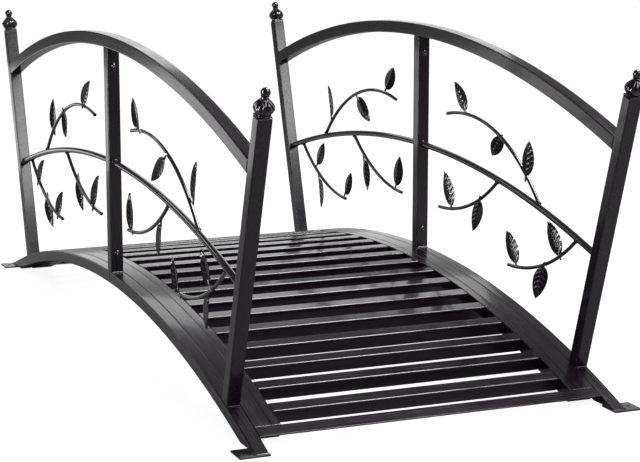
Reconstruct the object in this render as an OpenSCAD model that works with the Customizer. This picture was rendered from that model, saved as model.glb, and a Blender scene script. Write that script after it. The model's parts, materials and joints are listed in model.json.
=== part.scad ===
// Arched garden bridge in steel tube: two bowed side tubes on bolted feet carry a
// slatted deck, and each side has a railing of three posts, a bowed handrail, a
// bowed middle rod and leafy scrollwork.
// Millimetres. X runs along the bridge, Y across it and Z up from the ground.
// The origin is on the ground under the middle of the bridge.

/* [Overall] */
// Distance from mid-span to the tip of a side tube
arch_half = 806; // [680:1:980]
// Width over the outer faces of the two side tubes
bridge_w = 682; // [560:1:830]
// Height of the walking surface above the ground at mid-span
crown_h = 141.5; // [118:0.5:170]

/* [Side tubes] */
// Width of every square post, handrail and side tube
tube_w = 25; // [20:1:31]
// Height of the bowed side tube
arch_h = 23; // [19:1:28]

/* [Feet] */
// Thickness of the foot plate
foot_t = 3; // [2:0.5:5]
// Length of the foot plate along the bridge
foot_len = 46; // [38:1:56]
// How far the foot plate runs on beyond the tip of the side tube
foot_toe = 5; // [0:1:8]
// How far the foot plate's ear stands out beyond the side tube
foot_ear = 28; // [22:1:36]
// Radius of the anchor hole in the ear
foot_hole_r = 3.5; // [2.5:0.5:5]

/* [Deck] */
// Width of the deck's outer edge tube
edge_w = 30; // [24:1:36]
// Width of the deck's inner strip, which the slats are welded to
strip_w = 17; // [14:1:22]
// Depth of the deck's tubes and slats
deck_h = 25; // [15:1:30]
// Width of one slat along the bridge
slat_w = 27; // [20:1:34]
// Slats in each half of the deck
slats_half = 10; // [8:1:12]
// Distance from one slat to the next, along the bow
slat_pitch = 73.1; // [62:0.1:88]
// Gap between the last slat and the flat end bar
end_gap = 39; // [25:1:50]
// Width of the flat bar that closes each end of the deck
end_bar_w = 27; // [22:1:33]
// Thickness of the flat end bar
end_bar_t = 3; // [2:0.5:5]

/* [Posts] */
// Where an end post's axis meets the walking surface, from mid-span
post_x = 659; // [560:1:720]
// How far an end post leans outward, in degrees
post_lean = 17.5; // [14:0.5:21]
// Length of an end post along its axis
post_len = 520; // [460:1:620]
// Diameter of the bulb on a post's finial
bulb_d = 35; // [28:1:42]
// Diameter of the ball on top of a finial
ball_d = 16; // [13:0.5:20]

/* [Handrail] */
// Height of the handrail's top at mid-span
rail_crown = 604; // [550:1:690]
// Radius of the handrail's top face
rail_r = 2420; // [2020:10:2900]
// Height of the middle rod's centre at mid-span
rod_crown = 357; // [330:1:390]
// Radius of the middle rod's centre line
rod_r = 2570; // [2200:10:3000]
// Diameter of the middle rod
rod_d = 12; // [9:0.5:15]

/* [Scrollwork] */
// Diameter of a branch
branch_d = 7; // [6:0.5:8.5]
// Length of a leaf from its stalk to its point
leaf_len = 74; // [62:1:88]
// Greatest width of a leaf
leaf_w = 27; // [23:1:32]
// Thickness of a leaf
leaf_t = 2; // [1.5:0.5:3]
// Diameter of a leaf's stalk
stalk_d = 4; // [3:0.5:5]

/* [Hidden] */
// Sides of the long bows, so that they stay smooth
bow_fn = 720;
// Sides of round bars
bar_fn = 24;
// Gap between a round piece and the round piece that it is welded to
weld_gap = 0.2;
// Longer than any piece, for cutting tools
big = 3000;

// The bowed side tube: its top is an arc from the crown down to the foot plates
arch_rise = crown_h - foot_t;
arch_r = (arch_half * arch_half + arch_rise * arch_rise) / (2 * arch_rise);
arch_z = crown_h - arch_r;

// Middle of a foot plate, where its anchor hole is
foot_x = arch_half + foot_toe - foot_len / 2;

// Distances across the bridge, from its middle
side_y = bridge_w / 2 - tube_w / 2;
edge_y = bridge_w / 2 - tube_w - edge_w / 2;
strip_y = bridge_w / 2 - tube_w - edge_w - strip_w / 2;
slat_l = bridge_w - 2 * (tube_w + edge_w + strip_w);

// Distance along the bow from mid-span to the back of the end bar, and angles there
function bow_angle(run) = run / arch_r * 180 / PI;
deck_run = (slats_half - 0.5) * slat_pitch + slat_w / 2 + end_gap;
bar_angle = bow_angle(deck_run + end_bar_w / 2);

// Where an end post's axis meets the bow
post_z = arch_z + sqrt(arch_r * arch_r - post_x * post_x);

// Branches of one panel, on the side of the bridge where x is positive. Each is an
// arc that starts in the middle rod: centre x and z, radius, and its end angle.
UPPER = [207, 39, 404, 102];
LOWER_END = [384, 588, 410, -89];
LOWER_MID = [84, 655, 415, -89];
BRANCHES = [UPPER, LOWER_END, LOWER_MID];

// Angle on a branch where its centre line crosses that of the middle rod
rod_z = rod_crown - rod_r;
function start_angle(b) =
    let (d = norm([b[0], b[1] - rod_z]))
    atan2(rod_z - b[1], -b[0]) + acos((b[2] * b[2] + d * d - rod_r * rod_r) / (2 * b[2] * d));

// Leaves of one panel: branch, angle of the stalk's foot on that branch, direction
// of the leaf in the panel, side of the branch that it is welded to (1 is away from
// the deck), and how far it is turned about its own stalk.
LEAVES = [
    [0, 51, 80, -1, 22],
    [0, 70, 224, 1, 22],
    [0, 92, 130, 1, 36],
    [1, -62, 128, 1, 32],
    [1, -68, 248, -1, -30],
    [1, -86, 124, 1, 22],
    [2, -62, 250, -1, -22],
    [2, -83, 111, 1, 22],
];

// Puts a piece that is made for the positive x and y quarter into another quarter
module quarter(side, end) {
    mirror([0, side < 0 ? 1 : 0, 0])
        mirror([end < 0 ? 1 : 0, 0, 0])
            children();
}

// A disc standing in the XZ plane, w thick, centred on y
module standing_disc(r, w, y, z) {
    translate([0, y, z])
        rotate([90, 0, 0])
            cylinder(r = r, h = w, center = true, $fn = bow_fn);
}

// A flat-sided ring in the XZ plane: the bow that a tube is rolled to
module bow(r, h, w, y, z) {
    difference() {
        standing_disc(r, w, y, z);
        standing_disc(r - h, w + 2, y, z);
    }
}

// Half of a bowed side tube, cut level where it stands on its foot
module arch_half_tube() {
    color("#1b1b1d")
        intersection() {
            bow(arch_r, arch_h, tube_w, side_y, arch_z);
            translate([0, 0, foot_t])
                cube([big, big, big]);
        }
}

// Foot plate under the end of a side tube, with an ear for the ground anchor
module foot() {
    ear_y = bridge_w / 2 + foot_ear / 2;
    color("#1b1b1d")
        difference() {
            translate([foot_x - foot_len / 2, bridge_w / 2 - tube_w, 0])
                cube([foot_len, tube_w + foot_ear, foot_t]);
            translate([foot_x, ear_y, -1])
                cylinder(r = foot_hole_r, h = foot_t + 2, $fn = 32);
        }
}

// Half of a tube that runs along the deck with its top flush with the side tubes. It
// ends square against the back of the end bar.
module deck_rail(w, y) {
    color("#1b1b1d")
        intersection() {
            bow(arch_r, deck_h, w, y, arch_z);
            translate([0, 0, arch_z])
                rotate([0, bar_angle, 0])
                    translate([-big - end_bar_w / 2, 0, 0])
                        cube([big, big, big]);
            translate([0, 0, -crown_h])
                cube([big, big, big]);
        }
}

// A bar across the deck at a distance along the bow, with its top flush
module cross_bar(angle, w, l, t) {
    translate([0, 0, arch_z])
        rotate([0, angle, 0])
            translate([-w / 2, -l / 2, arch_r - t])
                cube([w, l, t]);
}

module slats() {
    color("#1b1b1d")
        for (i = [0 : slats_half - 1])
            cross_bar(bow_angle((i + 0.5) * slat_pitch), slat_w, slat_l, deck_h);
}

module end_bar() {
    color("#1b1b1d")
        cross_bar(bar_angle, end_bar_w, bridge_w - 2 * tube_w, end_bar_t);
}

// Moves a piece drawn on the Z axis onto an end post's axis
module on_post_axis() {
    translate([post_x, side_y, post_z])
        rotate([0, post_lean, 0])
            children();
}

// Leaning end post, trimmed below to sit on the side tube
module end_post() {
    color("#1b1b1d")
        difference() {
            on_post_axis()
                translate([-tube_w / 2, -tube_w / 2, -tube_w])
                    cube([tube_w, tube_w, post_len + tube_w]);
            standing_disc(arch_r, tube_w + 2, side_y, arch_z);
        }
}

// Upright post at mid-span, between the side tube and the handrail
module mid_post() {
    color("#1b1b1d")
        difference() {
            translate([-tube_w / 2, side_y - tube_w / 2, crown_h - tube_w])
                cube([tube_w, tube_w, rail_crown - crown_h]);
            standing_disc(arch_r, tube_w + 2, side_y, arch_z);
            bow(rail_r, tube_w, tube_w + 2, side_y, rail_crown - rail_r);
        }
}

// Turned finial: a cap, a collar, an onion bulb, a neck and a ball
module finial() {
    cap_t = 1.5;
    collar_r = bulb_d * 0.34;
    neck_r = ball_d * 0.3;
    bulb_z = cap_t + 2 + bulb_d * 0.34;
    neck_z = bulb_z + bulb_d * 0.52;
    ball_z = neck_z + ball_d * 0.42;
    color("#1b1b1d")
        on_post_axis()
            translate([0, 0, post_len]) {
                translate([-tube_w / 2, -tube_w / 2, 0])
                    cube([tube_w, tube_w, cap_t]);
                rotate_extrude($fn = 48)
                    polygon([
                        [0, 0],
                        [collar_r, 0],
                        [collar_r, cap_t + 2],
                        for (a = [-48 : 12 : 36])
                            [bulb_d / 2 * cos(a), bulb_z + bulb_d * 0.38 * sin(a)],
                        [bulb_d * 0.26, bulb_z + bulb_d * 0.36],
                        [neck_r, neck_z],
                        [neck_r, ball_z],
                        [0, ball_z],
                    ]);
                translate([0, 0, ball_z])
                    sphere(d = ball_d, $fn = 48);
            }
}

// Bowed handrail between the inner faces of the two end posts
module handrail() {
    color("#1b1b1d")
        difference() {
            intersection() {
                bow(rail_r, tube_w, tube_w, side_y, rail_crown - rail_r);
                translate([-big, 0, crown_h])
                    cube([2 * big, bridge_w, big]);
            }
            for (end = [-1, 1])
                quarter(1, end)
                    on_post_axis()
                        translate([-tube_w / 2, -tube_w, -big])
                            cube([big, 2 * tube_w, 2 * big]);
        }
}

// Round bar bent to an arc in the XZ plane, from one angle to another
module bent_bar(x, z, r, from, to, d) {
    turn = to - from;
    translate([x, side_y, z])
        rotate([90, 0, 0])
            rotate([0, 0, turn > 0 ? from : to])
                rotate_extrude(angle = abs(turn), $fn = bow_fn)
                    translate([r, 0])
                        circle(d = d, $fn = bar_fn);
}

// Middle rod from the mid post to an end post
module rod() {
    color("#1b1b1d")
        difference() {
            bent_bar(0, rod_z, rod_r, 90, 70, rod_d);
            translate([-tube_w / 2, 0, 0])
                cube([tube_w, bridge_w, rail_crown]);
            on_post_axis()
                translate([-tube_w / 2, -tube_w, -big])
                    cube([big, 2 * tube_w, 2 * big]);
        }
}

// The three branches of one railing panel
module vines() {
    color("#1b1b1d")
        difference() {
            for (b = BRANCHES)
                bent_bar(b[0], b[1], b[2], start_angle(b), b[3], branch_d);
            bent_bar(0, rod_z, rod_r, 90, 70, rod_d + 2 * weld_gap);
        }
}

// One leaf on the X axis: a stalk that lies along the branch's side, and a blade
// with two arcs for its edges
module leaf() {
    blade = leaf_len * 0.86;
    arc_r = (blade * blade / 4 + leaf_w * leaf_w / 4) / leaf_w;
    translate([leaf_len - blade / 2, 0, 0])
        rotate([90, 0, 0])
            linear_extrude(leaf_t, center = true)
                intersection() {
                    translate([0, arc_r - leaf_w / 2])
                        circle(r = arc_r, $fn = 96);
                    translate([0, leaf_w / 2 - arc_r])
                        circle(r = arc_r, $fn = 96);
                }
    rotate([0, 90, 0])
        cylinder(d = stalk_d, h = leaf_len * 0.3, $fn = 12);
}

module leaves() {
    color("#1b1b1d")
        for (l = LEAVES) {
            b = BRANCHES[l[0]];
            out = l[3] * (branch_d / 2 + weld_gap + stalk_d / 2);
            translate([b[0] + b[2] * cos(l[1]), side_y + out, b[1] + b[2] * sin(l[1])])
                rotate([0, -l[2], 0])
                    rotate([l[4], 0, 0])
                        leaf();
        }
}

quarter(-1, 1) arch_half_tube();  // left_arch_near
quarter(-1, -1) arch_half_tube();  // left_arch_far
quarter(1, 1) arch_half_tube();  // right_arch_near
quarter(1, -1) arch_half_tube();  // right_arch_far
quarter(-1, 1) foot();  // left_foot_near
quarter(-1, -1) foot();  // left_foot_far
quarter(1, 1) foot();  // right_foot_near
quarter(1, -1) foot();  // right_foot_far
quarter(-1, 1) deck_rail(edge_w, edge_y);  // left_edge_near
quarter(-1, -1) deck_rail(edge_w, edge_y);  // left_edge_far
quarter(1, 1) deck_rail(edge_w, edge_y);  // right_edge_near
quarter(1, -1) deck_rail(edge_w, edge_y);  // right_edge_far
quarter(-1, 1) deck_rail(strip_w, strip_y);  // left_strip_near
quarter(-1, -1) deck_rail(strip_w, strip_y);  // left_strip_far
quarter(1, 1) deck_rail(strip_w, strip_y);  // right_strip_near
quarter(1, -1) deck_rail(strip_w, strip_y);  // right_strip_far
quarter(1, 1) slats();  // slats_near
quarter(1, -1) slats();  // slats_far
quarter(1, 1) end_bar();  // end_bar_near
quarter(1, -1) end_bar();  // end_bar_far
quarter(-1, 1) end_post();  // left_post_near
quarter(-1, -1) end_post();  // left_post_far
quarter(1, 1) end_post();  // right_post_near
quarter(1, -1) end_post();  // right_post_far
quarter(-1, 1) mid_post();  // left_mid_post
quarter(1, 1) mid_post();  // right_mid_post
quarter(-1, 1) finial();  // left_finial_near
quarter(-1, -1) finial();  // left_finial_far
quarter(1, 1) finial();  // right_finial_near
quarter(1, -1) finial();  // right_finial_far
quarter(-1, 1) handrail();  // left_handrail
quarter(1, 1) handrail();  // right_handrail
quarter(-1, 1) rod();  // left_rod_near
quarter(-1, -1) rod();  // left_rod_far
quarter(1, 1) rod();  // right_rod_near
quarter(1, -1) rod();  // right_rod_far
quarter(-1, 1) vines();  // left_vines_near
quarter(-1, -1) vines();  // left_vines_far
quarter(1, 1) vines();  // right_vines_near
quarter(1, -1) vines();  // right_vines_far
quarter(-1, 1) leaves();  // left_leaves_near
quarter(-1, -1) leaves();  // left_leaves_far
quarter(1, 1) leaves();  // right_leaves_near
quarter(1, -1) leaves();  // right_leaves_far
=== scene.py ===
import json
import math

import bmesh
import bpy
from mathutils import Matrix, Vector

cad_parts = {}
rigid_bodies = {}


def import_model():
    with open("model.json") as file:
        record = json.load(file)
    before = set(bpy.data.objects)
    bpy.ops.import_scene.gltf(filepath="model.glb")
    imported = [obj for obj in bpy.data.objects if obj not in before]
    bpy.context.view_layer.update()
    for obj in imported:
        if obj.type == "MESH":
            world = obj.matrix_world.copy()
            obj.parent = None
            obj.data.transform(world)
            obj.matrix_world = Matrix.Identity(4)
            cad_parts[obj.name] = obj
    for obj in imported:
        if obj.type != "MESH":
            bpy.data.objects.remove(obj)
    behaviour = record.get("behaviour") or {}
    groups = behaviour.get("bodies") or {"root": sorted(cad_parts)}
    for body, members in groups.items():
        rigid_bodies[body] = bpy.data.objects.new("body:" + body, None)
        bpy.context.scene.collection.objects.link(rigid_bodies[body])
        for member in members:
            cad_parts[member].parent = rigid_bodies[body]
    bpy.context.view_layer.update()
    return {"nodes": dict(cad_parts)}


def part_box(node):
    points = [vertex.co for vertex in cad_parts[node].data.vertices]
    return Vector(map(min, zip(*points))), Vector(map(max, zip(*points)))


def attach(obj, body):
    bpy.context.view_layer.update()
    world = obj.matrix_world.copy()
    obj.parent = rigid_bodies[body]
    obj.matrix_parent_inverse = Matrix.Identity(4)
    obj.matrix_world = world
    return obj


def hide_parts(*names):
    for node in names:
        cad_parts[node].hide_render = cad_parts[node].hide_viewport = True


# %% [markdown]
# # An arched garden bridge in black powder-coated steel
# Two bowed side tubes carry a slatted deck, and a railing of square tube with leafy
# scrollwork stands on each side. The tubes, posts, rods and slats come from the packed
# CAD model and keep their sizes and places. This file gives them rounded corners and a
# finish, and adds what is pressed, turned, bolted and welded: the leaves, the finials,
# the bolts and the weld beads. Everything is in metres: X along the bridge, Y across
# it and Z up from the ground.

# %% Load the frame
for thing in list(bpy.data.objects):
    bpy.data.objects.remove(thing)
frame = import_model()

# %% [markdown]
# ## Sizes that the pieces share
# The bridge is the same at both ends and on both sides, so every place below is worked
# out for the quarter where X and Y are positive and then mirrored. The width of the
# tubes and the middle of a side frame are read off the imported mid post. The bow of the
# deck, the lean of the end posts and the bends of the branches are the maker's own
# measures, and they are repeated here because a box doesn't hold an angle.

# %% Sizes
post_low, post_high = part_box("right_mid_post")
TUBE = post_high.x - post_low.x
SIDE_Y = (post_high.y + post_low.y) / 2
CROWN = 0.1415
BOW_RADIUS = 2.41435
BOW_CENTRE = CROWN - BOW_RADIUS
RAIL_CROWN = 0.604
RAIL_RADIUS = 2.420
ROD_CROWN = 0.357
ROD_RADIUS = 2.570
ROD_THICK = 0.012
BRANCH_THICK = 0.007
POST_X = 0.659
POST_LENGTH = 0.520
POST_LEAN = math.radians(17.5)
QUARTERS = [("left", "near"), ("left", "far"), ("right", "near"), ("right", "far")]
SIGN = {"left": -1, "right": 1, "near": 1, "far": -1}
print("tube", round(TUBE, 4), "side frames at y", round(SIDE_Y, 4))


# %% Mirror a place into another quarter
def quarter(side, end):
    """The mirror that takes the quarter where X and Y are positive to another one."""
    return Matrix.Diagonal((SIGN[end], SIGN[side], 1, 1))


# %% [markdown]
# ## Colours and nodes
# A colour is written as the hex value that it has on a screen. Blender's shaders count
# in linear light, so one function turns the one into the other. Another small function
# adds a node together with its settings and links, so that a material reads as a list
# of what it is made of.

# %% Colour
def paint(code):
    """A screen colour such as #1b1b1d as linear red, green, blue and alpha."""
    parts = [int(code[i:i + 2], 16) / 255 for i in (1, 3, 5)]
    return [c / 12.92 if c <= 0.04045 else ((c + 0.055) / 1.055) ** 2.4 for c in parts] + [1]


# %% Nodes
def add_node(tree, kind, settings=None, inputs=None):
    """Adds a node. An input is a number, a colour, or another node's output to link."""
    node = tree.nodes.new(kind)
    for name, value in (settings or {}).items():
        setattr(node, name, value)
    for name, value in (inputs or {}).items():
        if isinstance(value, bpy.types.NodeSocket):
            tree.links.new(value, node.inputs[name])
        else:
            node.inputs[name].default_value = value
    return node


# %% [markdown]
# ## The finish: gloss black polyester powder coat on steel
# Steel like this is usually blasted and sprayed with black powder, which melts in an
# oven into a skin about 0.08 mm thick. Such a skin is a plastic, so it isn't metallic:
# its colour is nearly black, and what the eye sees is mostly what it reflects. Three
# things keep it from looking like glass. The powder flows out into orange peel, dimples
# about 3 mm across. Faint draw lines of the steel tube run along it and show through.
# The gloss drifts a little from place to place. The draw lines need a direction, so
# there is one finish for each way that a tube runs.

# %% Powder coat
COAT_DARK = "#180d19"
COAT_LIGHT = "#201921"
PEEL_MM = 3.0
DRAW_LINE_MM = 1.6
DRAW_LINE_LONG_MM = 160.0
DRIFT_MM = 130.0
DRAW_LINE_RELIEF = 0.22
DRAW_LINE_DEEP = 0.0001
PEEL_DEEP = 0.0004
CLEAR_SKIN = 0.30
CLEAR_SKIN_ROUGH = 0.07


def round_a_bow(tree, place, centre_z, radius):
    """Coordinates that follow a bow: distance along it, across it, and from its centre."""
    parts = add_node(tree, "ShaderNodeSeparateXYZ", {}, {"Vector": place})
    drop = add_node(tree, "ShaderNodeMath", {"operation": "SUBTRACT"}, {
        0: parts.outputs["Z"], 1: centre_z})
    spoke = add_node(tree, "ShaderNodeCombineXYZ", {}, {
        "X": parts.outputs["X"], "Z": drop.outputs["Value"]})
    reach = add_node(tree, "ShaderNodeVectorMath", {"operation": "LENGTH"}, {
        0: spoke.outputs["Vector"]})
    angle = add_node(tree, "ShaderNodeMath", {"operation": "ARCTAN2"}, {
        0: parts.outputs["X"], 1: drop.outputs["Value"]})
    along = add_node(tree, "ShaderNodeMath", {"operation": "MULTIPLY"}, {
        0: angle.outputs["Value"], 1: radius})
    return add_node(tree, "ShaderNodeCombineXYZ", {}, {
        "X": along.outputs["Value"], "Y": parts.outputs["Y"],
        "Z": reach.outputs["Value"]}).outputs["Vector"]


def powder_coat(name, grain, gloss=0.20, peel=0.02, bow=None,
                skin_weight=CLEAR_SKIN):
    """Gloss black powder coat. grain is the axis that the steel was drawn along, or
    None where it was cast or pressed. bow is the centre height and the radius of a bow
    that the draw lines follow."""
    material = bpy.data.materials.new(name)
    material.use_nodes = True
    tree = material.node_tree
    tree.nodes.clear()
    place = add_node(tree, "ShaderNodeTexCoord").outputs["Object"]
    stretch = [1000 / (DRAW_LINE_LONG_MM if axis == grain else DRAW_LINE_MM) for axis in "XYZ"]
    if grain is None:
        stretch = [1000 / PEEL_MM] * 3
    run = round_a_bow(tree, place, *bow) if bow else place
    lines_at = add_node(tree, "ShaderNodeMapping", {}, {"Vector": run, "Scale": stretch})
    lines = add_node(tree, "ShaderNodeTexNoise", {}, {
        "Vector": lines_at.outputs["Vector"], "Scale": 1.0, "Detail": 3.0, "Roughness": 0.6})
    dimples = add_node(tree, "ShaderNodeTexNoise", {}, {
        "Vector": place, "Scale": 1000 / PEEL_MM, "Detail": 2.0, "Roughness": 0.5})
    drift = add_node(tree, "ShaderNodeTexNoise", {}, {
        "Vector": place, "Scale": 1000 / DRIFT_MM, "Detail": 4.0, "Roughness": 0.55})
    # Roughness: the average gloss, pushed up and down by the lines and by the drift
    rough_lines = add_node(tree, "ShaderNodeMapRange", {}, {
        "Value": lines.outputs["Fac"], "From Min": 0.3, "From Max": 0.7,
        "To Min": gloss - 0.07, "To Max": gloss + 0.12})
    rough_drift = add_node(tree, "ShaderNodeMapRange", {}, {
        "Value": drift.outputs["Fac"], "From Min": 0.3, "From Max": 0.7,
        "To Min": -0.035, "To Max": 0.035})
    rough = add_node(tree, "ShaderNodeMath", {"operation": "ADD"}, {
        0: rough_lines.outputs["Result"], 1: rough_drift.outputs["Result"]})
    # Colour: two blacks, mixed by the drift and by the draw lines
    blend = add_node(tree, "ShaderNodeMath", {"operation": "MULTIPLY"}, {
        0: lines.outputs["Fac"], 1: drift.outputs["Fac"]})
    spread = add_node(tree, "ShaderNodeMapRange", {}, {
        "Value": blend.outputs["Value"], "From Min": 0.12, "From Max": 0.40})
    colour = add_node(tree, "ShaderNodeMix", {"data_type": "RGBA"}, {
        0: spread.outputs["Result"], 6: paint(COAT_DARK), 7: paint(COAT_LIGHT)})
    # Relief: draw lines under the coat, then the orange peel on top of them
    relief = add_node(tree, "ShaderNodeBump", {}, {
        "Height": lines.outputs["Fac"], "Strength": DRAW_LINE_RELIEF, "Distance": DRAW_LINE_DEEP})
    skin = add_node(tree, "ShaderNodeBump", {}, {
        "Height": dimples.outputs["Fac"], "Strength": peel, "Distance": PEEL_DEEP,
        "Normal": relief.outputs["Normal"]})
    shader = add_node(tree, "ShaderNodeBsdfPrincipled", {}, {
        "Base Color": colour.outputs[2], "Roughness": rough.outputs["Value"],
        "Normal": skin.outputs["Normal"], "Metallic": 0.0, "IOR": 1.45,
        "Coat Weight": skin_weight, "Coat Roughness": CLEAR_SKIN_ROUGH})
    add_node(tree, "ShaderNodeOutputMaterial", {}, {"Surface": shader.outputs["BSDF"]})
    return material


coat_on_bow = powder_coat(
    "gloss_powder_coat_on_bowed_tube", "X", bow=(BOW_CENTRE, BOW_RADIUS))
coat_on_rail = powder_coat(
    "gloss_powder_coat_on_handrail", "X", bow=(RAIL_CROWN - RAIL_RADIUS, RAIL_RADIUS))
coat_along_y = powder_coat("gloss_powder_coat_on_slats", "Y", gloss=0.18)
coat_along_z = powder_coat("gloss_powder_coat_on_posts", "Z")
coat_on_rod = powder_coat("gloss_powder_coat_on_round_bar", None, gloss=0.16, skin_weight=0.8)
coat_on_casting = powder_coat("gloss_powder_coat_on_castings", None, gloss=0.12, peel=0.06,
    skin_weight=0.8)
coat_on_leaf = powder_coat("gloss_powder_coat_on_pressed_leaves", None, gloss=0.16, peel=0.06,
    skin_weight=0.8)
coat_on_weld = powder_coat("gloss_powder_coat_on_welds", None, gloss=0.20, peel=0.10)
print("finishes", len(bpy.data.materials))

# %% [markdown]
# ## Rounded corners on the tubes
# Square tube has rounded corners, and those corners catch the light as thin bright
# lines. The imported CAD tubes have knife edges. Rather than model each tube again, each
# one gets four modifiers: Weld joins its loose triangles, Decimate in its planar mode
# turns the triangles of a flat face back into one face, Bevel rounds the edges that are
# left, and Weighted Normal lets each big flat face keep its own shading, so that a tube
# doesn't look puffed up. The CAD mesh under them isn't touched. A round bar's only sharp edges are
# its ends, so a wide bevel there makes the rounded tips of the branches.

# %% Round the corners of a CAD node
def round_corners(node, radius, steps):
    piece = frame["nodes"][node]
    join = piece.modifiers.new("join", "WELD")
    join.merge_threshold = 0.00002
    flats = piece.modifiers.new("flats", "DECIMATE")
    flats.decimate_type = "DISSOLVE"
    flats.angle_limit = math.radians(0.05)
    corners = piece.modifiers.new("corners", "BEVEL")
    corners.width = radius
    corners.segments = steps
    corners.profile = 0.5
    corners.limit_method = "ANGLE"
    corners.angle_limit = math.radians(32)
    shading = piece.modifiers.new("shading", "WEIGHTED_NORMAL")
    shading.mode = "FACE_AREA"
    shading.weight = 100
    shading.keep_sharp = True
    for face in piece.data.polygons:
        face.use_smooth = True


# %% Finish and corners for every CAD node
KINDS = [
    ("arch", coat_on_bow, 0.0023, 3), ("edge", coat_on_bow, 0.0012, 2),
    ("strip", coat_on_bow, 0.0012, 2), ("handrail", coat_on_rail, 0.0023, 3),
    ("post", coat_along_z, 0.0024, 3), ("slats", coat_along_y, 0.0025, 3),
    ("end_bar", coat_along_y, 0.0006, 2), ("foot", coat_along_y, 0.0006, 2),
    ("rod", coat_on_rod, 0.0010, 1), ("vines", coat_on_rod, 0.0022, 3),
    ("finial", coat_on_casting, 0.0005, 1), ("leaves", coat_on_leaf, 0.0003, 1),
]
for name, piece in frame["nodes"].items():
    for word, finish, radius, steps in KINDS:
        if word in name:
            piece.data.materials.clear()
            piece.data.materials.append(finish)
            round_corners(name, radius, steps)
print("CAD nodes finished", len(frame["nodes"]))


# %% [markdown]
# ## Turning a bmesh into a finished piece
# Every added piece ends the same way: doubles are merged, its faces are turned to point
# outwards, its mesh is given a finish, and it is made to ride with the bridge. The place
# is in the mesh, so the object itself stays at the origin.

# %% Finish a piece
def finish_piece(bm, name, finish, stands_for=(), smooth=60):
    bmesh.ops.remove_doubles(bm, verts=bm.verts, dist=0.000001)
    bmesh.ops.recalc_face_normals(bm, faces=bm.faces)
    limit = math.radians(smooth)
    for face in bm.faces:
        face.smooth = True
    for edge in bm.edges:
        edge.smooth = len(edge.link_faces) == 2 and edge.calc_face_angle() < limit
    mesh = bpy.data.meshes.new(name)
    bm.to_mesh(mesh)
    bm.free()
    mesh.materials.append(finish)
    piece = bpy.data.objects.new(name, mesh)
    bpy.context.scene.collection.objects.link(piece)
    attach(piece, "root")
    if stands_for:
        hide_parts(*stands_for)
    print(name, len(mesh.polygons), "faces")
    return piece


# %% [markdown]
# ## Small parts that are repeated
# A leaf, a finial or a bolt is made standing at the origin in a bmesh of its own, so
# that bevels and merges can't touch its neighbours. It is then moved to its place and
# poured into the piece that holds all of its kind.

# %% Pour a small part into a piece
def pour(part, piece, place):
    part.transform(place)
    carrier = bpy.data.meshes.new("carrier")
    part.to_mesh(carrier)
    part.free()
    piece.from_mesh(carrier)
    bpy.data.meshes.remove(carrier)


# %% [markdown]
# ## The leaves
# Each leaf is pressed from sheet about 1.5 mm thick: an ovate blade with a raised
# midrib, five or six pairs of side veins that run towards the point, and a slight curl.
# A flat plate with a bump map would go flat when seen from the side, so the relief is
# modelled. A grid is drawn out into the leaf's outline, its points are lifted by the
# midrib and the veins, and it is then given its thickness. A short tapered stalk lies
# along the side of the branch, and sticks out a little past it.

# %% Leaf sizes
LEAF_LENGTH = 0.074
LEAF_WIDTH = 0.027
LEAF_THICK = 0.0014
BLADE_FROM = 0.006
RIB_HEIGHT = 0.0012
VEIN_HEIGHT = 0.0011
VEIN_PAIRS = 6.5
STALK_THICK = 0.0042
STALK_BACK = 0.0045
STALK_REACH = 0.016


# %% One leaf
def half_width(along):
    """Half of the blade's width, at a share of its length from stalk to point."""
    fullness = along ** 0.60 * (1 - along) ** 0.82
    return LEAF_WIDTH / 2 * fullness / (0.4225 ** 0.60 * 0.5775 ** 0.82)


def relief(along, across):
    """How far the blade's face stands out at a place: midrib, veins and a gentle fold."""
    fade = min(1, along * 8, (1 - along) * 6)
    rib = RIB_HEIGHT * math.exp(-(across / 0.13) ** 2)
    wave = math.cos(2 * math.pi * VEIN_PAIRS * (along - 0.17 * abs(across)))
    vein = VEIN_HEIGHT * max(0, wave) ** 2 * (1 - across ** 4)
    fold = -0.0024 * abs(across) ** 1.4
    return fade * (rib + vein) + fold


def add_leaf(bm, place, curl):
    """A leaf along X with its face towards -Y, moved to its place on a branch."""
    blade = bmesh.new()
    bmesh.ops.create_grid(blade, x_segments=46, y_segments=16, size=0.5)
    for vert in blade.verts:
        along, across = min(max(vert.co.x + 0.5, 0), 1), vert.co.y * 2
        bend = curl * (along ** 2) * 0.010
        vert.co = Vector((
            BLADE_FROM + along * (LEAF_LENGTH - BLADE_FROM),
            -relief(along, across) - bend,
            half_width(along) * across))
    bmesh.ops.remove_doubles(blade, verts=blade.verts, dist=0.00001)
    bmesh.ops.recalc_face_normals(blade, faces=blade.faces)
    bmesh.ops.solidify(blade, geom=blade.faces, thickness=LEAF_THICK)
    spine = Matrix.Translation((STALK_REACH / 2 - STALK_BACK / 2, 0, 0)) @ Matrix.Rotation(
        math.pi / 2, 4, "Y")
    bmesh.ops.create_cone(
        blade, cap_ends=True, segments=12, radius1=STALK_THICK * 0.42,
        radius2=STALK_THICK * 0.5, depth=STALK_REACH + STALK_BACK, matrix=spine)
    pour(blade, bm, place)


# %% [markdown]
# ## Where the leaves sit
# The branches of a panel are three arcs of round bar. A leaf's foot is at an angle on
# its arc, and its stalk is welded to one side of the bar, either away from the deck or
# towards it. It heads up or down within the panel. The four panels share all of that,
# but the leaves are welded on by hand, so each one is turned about its own stalk by an
# amount of its own: the twists, in degrees, in the same order as the leaves.

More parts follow.
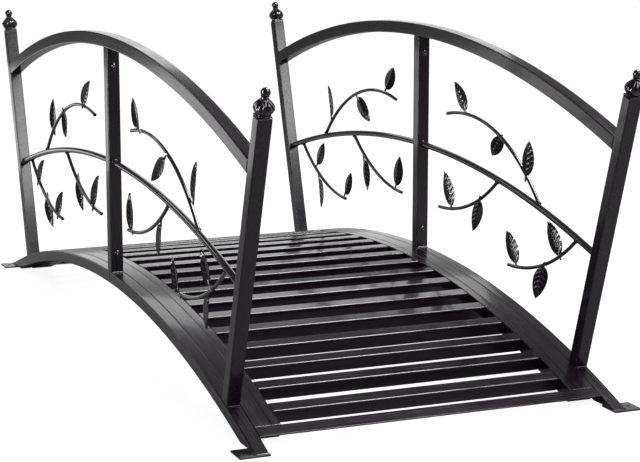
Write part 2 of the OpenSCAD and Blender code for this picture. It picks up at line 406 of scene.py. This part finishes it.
# %% Branches and leaves
BRANCHES = {
    "upper": (0.207, 0.039, 0.404), "end": (0.384, 0.588, 0.410),
    "middle": (0.084, 0.655, 0.415),
}
LEAVES = [
    ("upper", 51, 80, -1, 0.3), ("upper", 70, 224, 1, -0.9), ("upper", 92, 130, 1, 0.4),
    ("end", -62, 128, 1, 0.2), ("end", -68, 248, -1, 0.6), ("end", -86, 124, 1, 0.3),
    ("middle", -62, 250, -1, 0.3), ("middle", -83, 111, 1, 0.5),
]
TWISTS = {
    ("right", "near"): (24, -32, 14, 24, -52, 26, -20, 22),
    ("left", "near"): (2, 8, -8, -10, -2, -6, 0, -10),
    ("right", "far"): (8, 22, -24, -10, -2, -8, 8, -20),
    ("left", "far"): (14, -10, 8, 2, -22, 10, -16, 8),
}
STALK_OUT = BRANCH_THICK / 2 + 0.0002 + 0.002


def leaf_place(branch, degrees, heading, face, twist):
    x, z, radius = BRANCHES[branch]
    angle = math.radians(degrees)
    foot = Vector((
        x + radius * math.cos(angle), SIDE_Y + face * STALK_OUT, z + radius * math.sin(angle)))
    turn = Matrix.Rotation(-math.radians(heading), 4, "Y")
    return Matrix.Translation(foot) @ turn @ Matrix.Rotation(math.radians(twist), 4, "X")


for side, end in QUARTERS:
    bm = bmesh.new()
    for (*where, curl), twist in zip(LEAVES, TWISTS[side, end]):
        add_leaf(bm, quarter(side, end) @ leaf_place(*where, twist), curl)
    finish_piece(bm, f"pressed_leaves_{side}_{end}", coat_on_leaf, [f"{side}_leaves_{end}"])


# %% [markdown]
# ## The finials
# Each end post ends in a small cast finial: a square cap, a collar with a ring of
# beads, an onion bulb that is fluted above its widest line and smooth below it, a neck
# and a ball. It is round, so its half outline is spun about the post's axis. The flutes
# are then pressed into the upper half of the bulb by moving points inwards.

# %% The outline to spin
BALL_RADIUS = 0.008
BALL_AT = 0.0403
COLLAR_RADIUS = 0.0119
BEADS = 22
FLUTES = 12
outline = [
    (0.0100, 0.0012), (0.0116, 0.0014), (COLLAR_RADIUS, 0.0022), (0.0116, 0.0032),
    (0.0108, 0.0038), (0.0112, 0.0046), (0.0132, 0.0064), (0.0152, 0.0088),
    (0.0166, 0.0114), (0.0173, 0.0136), (0.0175, 0.0154), (0.0172, 0.0176),
    (0.0164, 0.0196), (0.0151, 0.0216), (0.0133, 0.0237), (0.0113, 0.0257),
    (0.0093, 0.0276), (0.0076, 0.0293), (0.0063, 0.0309), (0.0055, 0.0323),
    (0.0058, 0.0328), (0.0066, 0.0331), (0.0070, 0.0337), (0.0066, 0.0343),
    (0.0054, 0.0345),
]
outline += [
    (BALL_RADIUS * math.cos(math.radians(a)), BALL_AT + BALL_RADIUS * math.sin(math.radians(a)))
    for a in range(-48, 90, 8)]
outline.append((0, BALL_AT + BALL_RADIUS))


# %% One finial
def flute(vert):
    """Presses a point of the bulb's upper half inwards, most in the middle of a flute."""
    height = (vert.co.z - 0.0150) / (0.0315 - 0.0150)
    if 0 < height < 1:
        turn = math.atan2(vert.co.y, vert.co.x)
        depth = abs(math.sin(turn * FLUTES / 2)) ** 0.7
        share = min(1, height * 3.2) * min(1, (1 - height) * 4)
        vert.co.xy *= 1 - 0.16 * share * (1 - depth)


def add_finial(piece, place):
    bm = bmesh.new()
    chain = [bm.verts.new((r, 0, z)) for r, z in outline]
    edges = [bm.edges.new(pair) for pair in zip(chain, chain[1:])]
    bmesh.ops.spin(
        bm, geom=chain + edges, cent=(0, 0, 0), axis=(0, 0, 1), angle=2 * math.pi,
        steps=120, use_merge=True)
    for vert in bm.verts:
        flute(vert)
    for i in range(BEADS):
        angle = 2 * math.pi * i / BEADS
        at = Matrix.Translation((
            COLLAR_RADIUS * math.cos(angle), COLLAR_RADIUS * math.sin(angle), 0.0026))
        bmesh.ops.create_icosphere(bm, subdivisions=2, radius=0.0013, matrix=at)
    cap = bmesh.ops.create_cube(bm, size=1, matrix=Matrix.Translation(
        (0, 0, 0.00075)) @ Matrix.Diagonal((TUBE, TUBE, 0.0015, 1)))
    rim = {e for v in cap["verts"] for e in v.link_edges}
    bmesh.ops.bevel(
        bm, geom=list(rim), offset=0.0005, offset_type="OFFSET", segments=2, profile=0.5,
        affect="EDGES", material=-1)
    pour(bm, piece, place)


post_z = BOW_CENTRE + math.sqrt(BOW_RADIUS ** 2 - POST_X ** 2)
post_axis = Matrix.Translation((POST_X, SIDE_Y, post_z)) @ Matrix.Rotation(POST_LEAN, 4, "Y")
post_top = post_axis @ Matrix.Translation((0, 0, POST_LENGTH))
for side, end in QUARTERS:
    bm = bmesh.new()
    add_finial(bm, quarter(side, end) @ post_top)
    finish_piece(
        bm, f"turned_finial_{side}_{end}", coat_on_casting, [f"{side}_finial_{end}"], smooth=50)

# %% [markdown]
# ## The bolts
# Two bolts go through each mid post, one under the handrail and one above the deck.
# Each shows a washer and a low domed head towards the near end, and a washer and a
# domed nut at the back. A domed head is a ball cut in half and flattened, standing on
# the washer. The recess in the head is a round dip pressed in.

# %% One bolt
WASHER_RADIUS = 0.0070
WASHER_THICK = 0.0012
HEAD_RADIUS = 0.0048
HEAD_HEIGHT = 0.0030


def add_bolt(piece, place, recess):
    """A washer and a domed head on the XY plane, standing up along Z."""
    bm = bmesh.new()
    washer = bmesh.ops.create_cone(
        bm, cap_ends=True, segments=40, radius1=WASHER_RADIUS, radius2=WASHER_RADIUS,
        depth=WASHER_THICK, matrix=Matrix.Translation((0, 0, WASHER_THICK / 2)))
    rims = {e for v in washer["verts"] for e in v.link_edges if e.calc_face_angle(0) > 1}
    bmesh.ops.bevel(
        bm, geom=list(rims), offset=0.0003, offset_type="OFFSET", segments=2, profile=0.5,
        affect="EDGES", material=-1)
    dome = bmesh.ops.create_uvsphere(
        bm, u_segments=36, v_segments=20, radius=HEAD_RADIUS,
        matrix=Matrix.Translation((0, 0, WASHER_THICK)) @ Matrix.Diagonal(
            (1, 1, HEAD_HEIGHT / HEAD_RADIUS, 1)))["verts"]
    if recess:
        for vert in dome:
            reach = Vector((vert.co.x, vert.co.y, 0)).length
            if reach < HEAD_RADIUS * 0.5 and vert.co.z > WASHER_THICK:
                vert.co.z -= HEAD_HEIGHT * 0.45 * min(1, (HEAD_RADIUS * 0.5 - reach) / 0.0006)
    pour(bm, piece, place)


BOLT_HEIGHTS = (0.181, 0.545)
for side in ("left", "right"):
    bm = bmesh.new()
    for height in BOLT_HEIGHTS:
        for front in (1, -1):
            face = Matrix.Translation((front * TUBE / 2, SIGN[side] * SIDE_Y, height))
            add_bolt(bm, face @ Matrix.Rotation(front * math.pi / 2, 4, "Y"), front > 0)
    finish_piece(bm, f"mid_post_bolts_{side}", coat_on_casting, smooth=40)

# %% [markdown]
# ## The weld beads
# Every joint of the bridge is welded, and the bead stays visible under the coat as a
# small rounded fillet with ripples about 2 mm apart. A bead is a ring of points that is
# carried along the joint and swells at each ripple. Where a post or a rail is as wide as
# the tube that it meets, the sides are ground flush and only the two crosswise beads
# remain. A round bar has a bead all the way round.

# %% Lay a bead along a path
RIPPLE = 0.0022
POST_BEAD = 0.0021
RAIL_BEAD = 0.0019
SMALL_BEAD = 0.0018
ROD_BEAD = 0.0016
BRANCH_BEAD = 0.0013
BEAD_SIDES = 8


def lay_bead(bm, path, radius, closed=False):
    """A rippled bead along points that are about half a ripple apart."""
    count = len(path)
    rings = []
    for i, point in enumerate(path):
        before = path[(i - 1) % count] if closed or i else point
        after = path[(i + 1) % count] if closed or i < count - 1 else point
        facing = (after - before).to_track_quat("Z", "Y").to_matrix().to_4x4()
        swell = 1 + 0.13 * math.cos(math.pi * i)
        if not closed and i in (0, count - 1):
            swell = 0.35
        rings.append(Matrix.Translation(point) @ facing @ Matrix.Diagonal((swell, swell, 1, 1)))
    if closed:
        rings.append(rings[0])
    verts = bmesh.ops.create_circle(
        bm, segments=BEAD_SIDES, radius=radius, matrix=rings[0])["verts"]
    rim = list({e for v in verts for e in v.link_edges})
    first = list(rim)
    for here, there in zip(rings, rings[1:]):
        made = bmesh.ops.extrude_edge_only(bm, edges=rim)["geom"]
        verts = [g for g in made if isinstance(g, bmesh.types.BMVert)]
        rim = [g for g in made if isinstance(g, bmesh.types.BMEdge)
               and g.verts[0] in verts and g.verts[1] in verts]
        bmesh.ops.transform(bm, matrix=there @ here.inverted(), verts=verts)
    if not closed:
        bmesh.ops.holes_fill(bm, edges=first + rim, sides=BEAD_SIDES)


def straight(start, end):
    steps = max(3, round((end - start).length / (RIPPLE / 2)))
    return [start.lerp(end, i / steps) for i in range(steps + 1)]


def ring_round(place, radius):
    """Points round the Z axis of a place."""
    steps = 2 * round(math.pi * radius / RIPPLE)
    turns = [2 * math.pi * i / steps for i in range(steps)]
    return [place @ Vector((radius * math.cos(a), radius * math.sin(a), 0)) for a in turns]


# %% [markdown]
# ## Where the joints are
# A post's front and back faces meet the bowed tube where a line along the face meets
# the bow's circle. A handrail meets an end post at the post's inner face, and the middle
# rod meets it there too. A branch starts where its arc meets the surface of the rod.

# %% Places of the joints
def meet(start, direction, centre_z, radius):
    """Where a line in the XZ plane meets the circle of a bow, on its upper side."""
    to = Vector((start.x, 0, start.z - centre_z))
    along = to.dot(direction)
    reach = math.sqrt(along ** 2 - to.length_squared + radius ** 2)
    return start + direction * (reach - along)


def crosswise(point):
    """A bead across the width of the tube, in the positive Y quarter."""
    low, high = SIDE_Y - TUBE / 2 + 0.001, SIDE_Y + TUBE / 2 - 0.001
    return straight(Vector((point.x, low, point.z)), Vector((point.x, high, point.z)))


lean = Vector((math.sin(POST_LEAN), 0, math.cos(POST_LEAN)))
outward = Vector((math.cos(POST_LEAN), 0, -math.sin(POST_LEAN)))
base = Vector((POST_X, SIDE_Y, post_z))
inner_face = base - outward * TUBE / 2


def along_inner_face(crown, radius):
    """Where a bow of the railing meets the inner face of the end post."""
    return meet(inner_face, lean, crown - radius, radius)


def arc_point(branch, angle):
    x, z, radius = BRANCHES[branch]
    return Vector((x + radius * math.cos(angle), SIDE_Y, z + radius * math.sin(angle)))


def branch_start(branch):
    """The angle on a branch's arc where it leaves the surface of the middle rod."""
    rod_z = ROD_CROWN - ROD_RADIUS
    surface = ROD_RADIUS + (1 if branch == "upper" else -1) * ROD_THICK / 2
    x, z, radius = BRANCHES[branch]
    reach = math.hypot(x, z - rod_z)
    opening = math.acos((radius ** 2 + reach ** 2 - surface ** 2) / (2 * radius * reach))
    return math.atan2(rod_z - z, -x) + opening


# %% Beads of one quarter
def quarter_beads(bm):
    for face in (1, -1):
        foot = meet(base + outward * face * TUBE / 2, lean, BOW_CENTRE, BOW_RADIUS)
        lay_bead(bm, crosswise(foot), POST_BEAD)
    for crown, radius in ((RAIL_CROWN, RAIL_RADIUS), (RAIL_CROWN - TUBE, RAIL_RADIUS - TUBE)):
        lay_bead(bm, crosswise(along_inner_face(crown, radius)), RAIL_BEAD)
    mid_foot = Vector((TUBE / 2, SIDE_Y, BOW_CENTRE + math.sqrt(BOW_RADIUS ** 2 - TUBE ** 2 / 4)))
    lay_bead(bm, crosswise(mid_foot), POST_BEAD)
    under = RAIL_CROWN - TUBE
    lay_bead(bm, crosswise(Vector((TUBE / 2, SIDE_Y, under))), SMALL_BEAD)
    rod_end = along_inner_face(ROD_CROWN, ROD_RADIUS)
    rod_mid = Vector((TUBE / 2, SIDE_Y, ROD_CROWN))
    face_turn = Matrix.Rotation(math.pi / 2 + POST_LEAN, 4, "Y")
    lay_bead(bm, ring_round(
        Matrix.Translation(rod_end) @ face_turn, ROD_THICK / 2 + 0.0006), ROD_BEAD, closed=True)
    lay_bead(bm, ring_round(
        Matrix.Translation(rod_mid) @ Matrix.Rotation(math.pi / 2, 4, "Y"),
        ROD_THICK / 2 + 0.0004), ROD_BEAD, closed=True)
    for branch in BRANCHES:
        angle = branch_start(branch)
        facing = Matrix.Rotation(-angle, 4, "Y")
        lay_bead(bm, ring_round(
            Matrix.Translation(arc_point(branch, angle)) @ facing, BRANCH_THICK / 2 + 0.0004),
            BRANCH_BEAD, closed=True)
    low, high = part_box("right_foot_near")
    ground = high.z
    outer = SIDE_Y + TUBE / 2
    start = Vector((low.x + 0.006, outer, ground))
    stop = Vector((high.x - 0.008, outer, ground))
    lay_bead(bm, straight(start, stop), SMALL_BEAD)


for side, end in QUARTERS:
    bm = bmesh.new()
    quarter_beads(bm)
    bm.transform(quarter(side, end))
    finish_piece(bm, f"weld_beads_{side}_{end}", coat_on_weld)

# %% [markdown]
# ## Floor, backdrop and light
# The floor is a mid grey that the camera sees lifted to white. What the gloss reflects
# is the grey, which keeps the flat faces dark. The world is the backdrop: white where the
# camera looks, and for diffuse light an even glow at which a colour renders about as it
# is written. Gloss black shows what stands round it, so what it reflects matters more
# than the lamps: the backdrop behind the bridge is white, and the studio behind the
# camera and high overhead is dim, which is what leaves the front faces nearly black.

# %% Floor
FLOOR_LIFT = 0.90
bm = bmesh.new()
bmesh.ops.create_grid(bm, x_segments=1, y_segments=1, size=0.5)
bmesh.ops.transform(bm, matrix=Matrix.Diagonal((40, 40, 1, 1)), verts=bm.verts)
floor_mesh = bpy.data.meshes.new("studio_floor")
bm.to_mesh(floor_mesh)
bm.free()
floor = bpy.data.objects.new("studio_floor", floor_mesh)
bpy.context.scene.collection.objects.link(floor)
paper = bpy.data.materials.new("white_paper_floor")
paper.use_nodes = True
tree = paper.node_tree
tree.nodes.clear()
matte = add_node(tree, "ShaderNodeBsdfDiffuse", {}, {"Color": paint("#b4b4b4")})
floor_rays = add_node(tree, "ShaderNodeLightPath")
lift = add_node(tree, "ShaderNodeMath", {"operation": "MULTIPLY"}, {
    0: floor_rays.outputs["Is Camera Ray"], 1: FLOOR_LIFT})
whiten = add_node(tree, "ShaderNodeEmission", {}, {
    "Color": (1, 1, 1, 1), "Strength": lift.outputs["Value"]})
sum_of = add_node(tree, "ShaderNodeAddShader", {}, {
    0: matte.outputs["BSDF"], 1: whiten.outputs["Emission"]})
add_node(tree, "ShaderNodeOutputMaterial", {}, {"Surface": sum_of.outputs["Shader"]})
floor_mesh.materials.append(paper)

# %% World
GLOW = 0.30
STUDIO_DIM = 0.08
STUDIO_WHITE = 1.15
world = bpy.data.worlds.new("studio")
bpy.context.scene.world = world
world.use_nodes = True
tree = world.node_tree
tree.nodes.clear()
direction = add_node(tree, "ShaderNodeTexCoord").outputs["Generated"]
parts = add_node(tree, "ShaderNodeSeparateXYZ", {}, {"Vector": direction})
behind = add_node(tree, "ShaderNodeMapRange", {"interpolation_type": "SMOOTHSTEP"}, {
    "Value": parts.outputs["X"], "From Min": 0.5, "From Max": -0.1, "To Min": 0.0, "To Max": 1.0})
low_down = add_node(tree, "ShaderNodeMapRange", {"interpolation_type": "SMOOTHSTEP"}, {
    "Value": parts.outputs["Z"], "From Min": 0.16, "From Max": 0.36, "To Min": 1.0, "To Max": 0.07})
to_the_right = add_node(tree, "ShaderNodeMapRange", {"interpolation_type": "SMOOTHSTEP"}, {
    "Value": parts.outputs["Y"], "From Min": 0.0, "From Max": 0.22, "To Min": 0.0, "To Max": 1.0})
back_wall = add_node(tree, "ShaderNodeMath", {"operation": "MULTIPLY"}, {
    0: behind.outputs["Result"], 1: to_the_right.outputs["Result"]})
both = add_node(tree, "ShaderNodeMath", {"operation": "MULTIPLY"}, {
    0: back_wall.outputs["Value"], 1: low_down.outputs["Result"]})
seen_in_gloss = add_node(tree, "ShaderNodeMapRange", {}, {
    "Value": both.outputs["Value"], "To Min": STUDIO_DIM, "To Max": STUDIO_WHITE})
rays = add_node(tree, "ShaderNodeLightPath")
gloss_or_glow = add_node(tree, "ShaderNodeMix", {}, {
    0: rays.outputs["Is Glossy Ray"], 2: GLOW, 3: seen_in_gloss.outputs["Result"]})
camera_or_rest = add_node(tree, "ShaderNodeMix", {}, {
    0: rays.outputs["Is Camera Ray"], 2: gloss_or_glow.outputs[0], 3: 1.0})
sky = add_node(tree, "ShaderNodeBackground", {}, {
    "Color": (1, 1, 1, 1), "Strength": camera_or_rest.outputs[0]})
add_node(tree, "ShaderNodeOutputWorld", {}, {"Surface": sky.outputs["Background"]})


# %% [markdown]
# ## Lamps
# The soft lamps light the bridge and show in its gloss. Three more show in the gloss
# alone. The one above is where the rounded front corners of the slats and the rods are
# turned towards, and it draws thin bright lines along them.

# %% Lamps
def softbox(name, at, towards, size, radiance, matte=True):
    """A soft lamp as bright as radiance wherever it is seen in the gloss. With matte
    False it shows in the gloss alone, and lights no matte surface."""
    lamp = bpy.data.lights.new(name, "AREA")
    lamp.shape = "RECTANGLE"
    lamp.size, lamp.size_y = size
    lamp.energy = radiance * math.pi * size[0] * size[1]
    holder = bpy.data.objects.new(name, lamp)
    holder.location = at
    holder.rotation_euler = (Vector(towards) - Vector(at)).to_track_quat("-Z", "Y").to_euler()
    holder.visible_camera = False
    holder.visible_diffuse = matte
    bpy.context.scene.collection.objects.link(holder)


softbox("softbox_top", (0.5, 1.0, 2.6), (0.1, 0, 0.1), (1.6, 0.5), 9.0)
softbox("softbox_back", (-2.4, 0.7, 1.55), (0.2, 0, 0.2), (2.2, 0.5), 1.6)
softbox("softbox_front", (2.2, 1.0, 1.85), (-0.7, 0, 0.35), (1.8, 0.5), 9.0)
softbox("edge_light_above", (0.5, 1.0, 2.7), (0, 0, 0.3), (1.2, 1.2), 26.0, matte=False)
softbox("low_panel_left", (-1.7, -0.95, 0.20), (-0.3, -0.33, 0.3), (1.0, 0.30), 1.2, matte=False)
softbox("softbox_back_left", (-1.8, -1.3, 1.6), (0, 0, 0.3), (0.8, 0.3), 3.5)
softbox("strip_left", (0.75, -1.9, 0.78), (0.3, 0, 0.3), (0.30, 1.5), 26.0, matte=False)

# %% [markdown]
# ## Camera
# The bridge is seen from a little above its handrails and from its near left corner,
# with a long lens, so that its two sides stay nearly parallel.

# %% Camera
YAW = math.radians(22.4945)
PITCH = math.radians(10.9119)
looks = Vector((
    -math.cos(YAW) * math.cos(PITCH), math.sin(YAW) * math.cos(PITCH), -math.sin(PITCH)))
lens = bpy.data.cameras.new("camera")
lens.sensor_width = 36
lens.lens = 108.77
camera = bpy.data.objects.new("camera", lens)
camera.location = (3.5684, -1.3739, 0.9342)
camera.rotation_euler = looks.to_track_quat("-Z", "Y").to_euler()
bpy.context.scene.collection.objects.link(camera)
bpy.context.scene.camera = camera
bpy.context.scene.view_settings.view_transform = "Standard"
